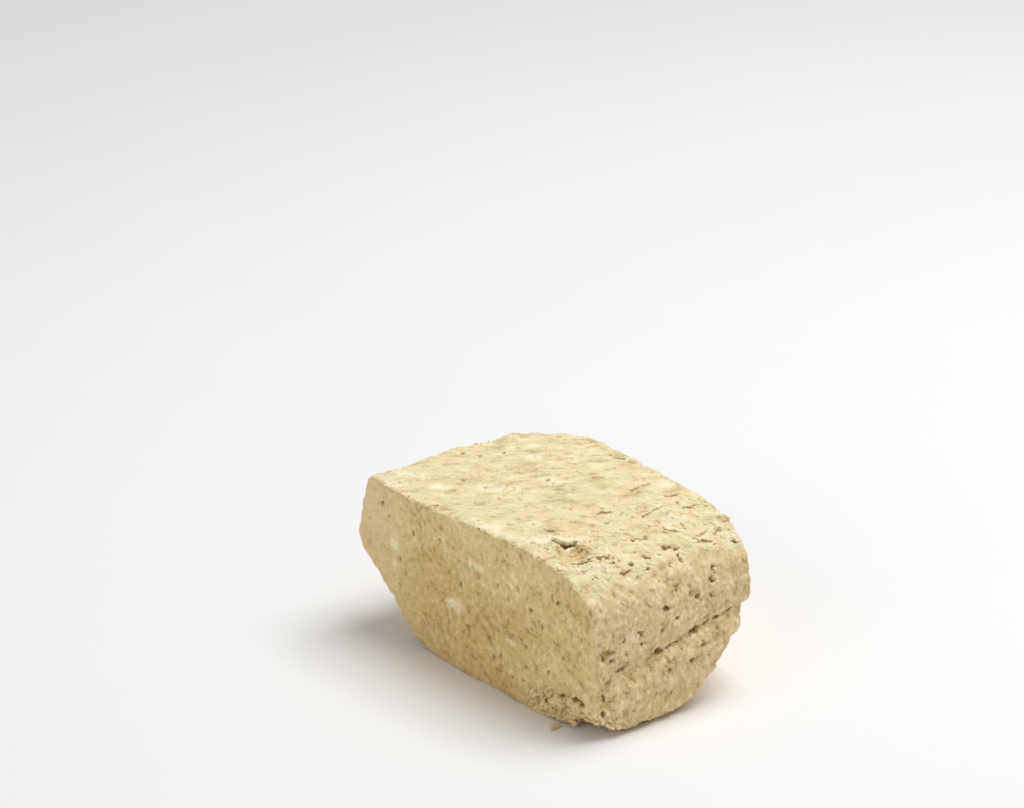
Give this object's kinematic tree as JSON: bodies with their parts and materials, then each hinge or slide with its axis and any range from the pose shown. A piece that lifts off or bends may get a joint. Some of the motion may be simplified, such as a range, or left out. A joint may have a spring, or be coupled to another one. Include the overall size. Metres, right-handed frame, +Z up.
{
  "type": "sunflower halva",
  "caption": "Block of pressed sunflower seed halva with knife-cut ends, a flaky top, a round shoulder, a cracked granular side and a broken lower corner.",
  "frame": {"origin": "centre of the bounding box at the flat base that the block lies on", "axes": "+X across the bar towards its cracked long side, +Y along the bar away from the near knife cut, +Z up"},
  "size_m": [0.0892, 0.0584, 0.0398],
  "materials": {
    "halva": "dry, matt and granular, with pale flakes and dark seed specks"
  },
  "bodies": {
    "root": {"halva_block": "halva"}
  },
  "joints": []
}
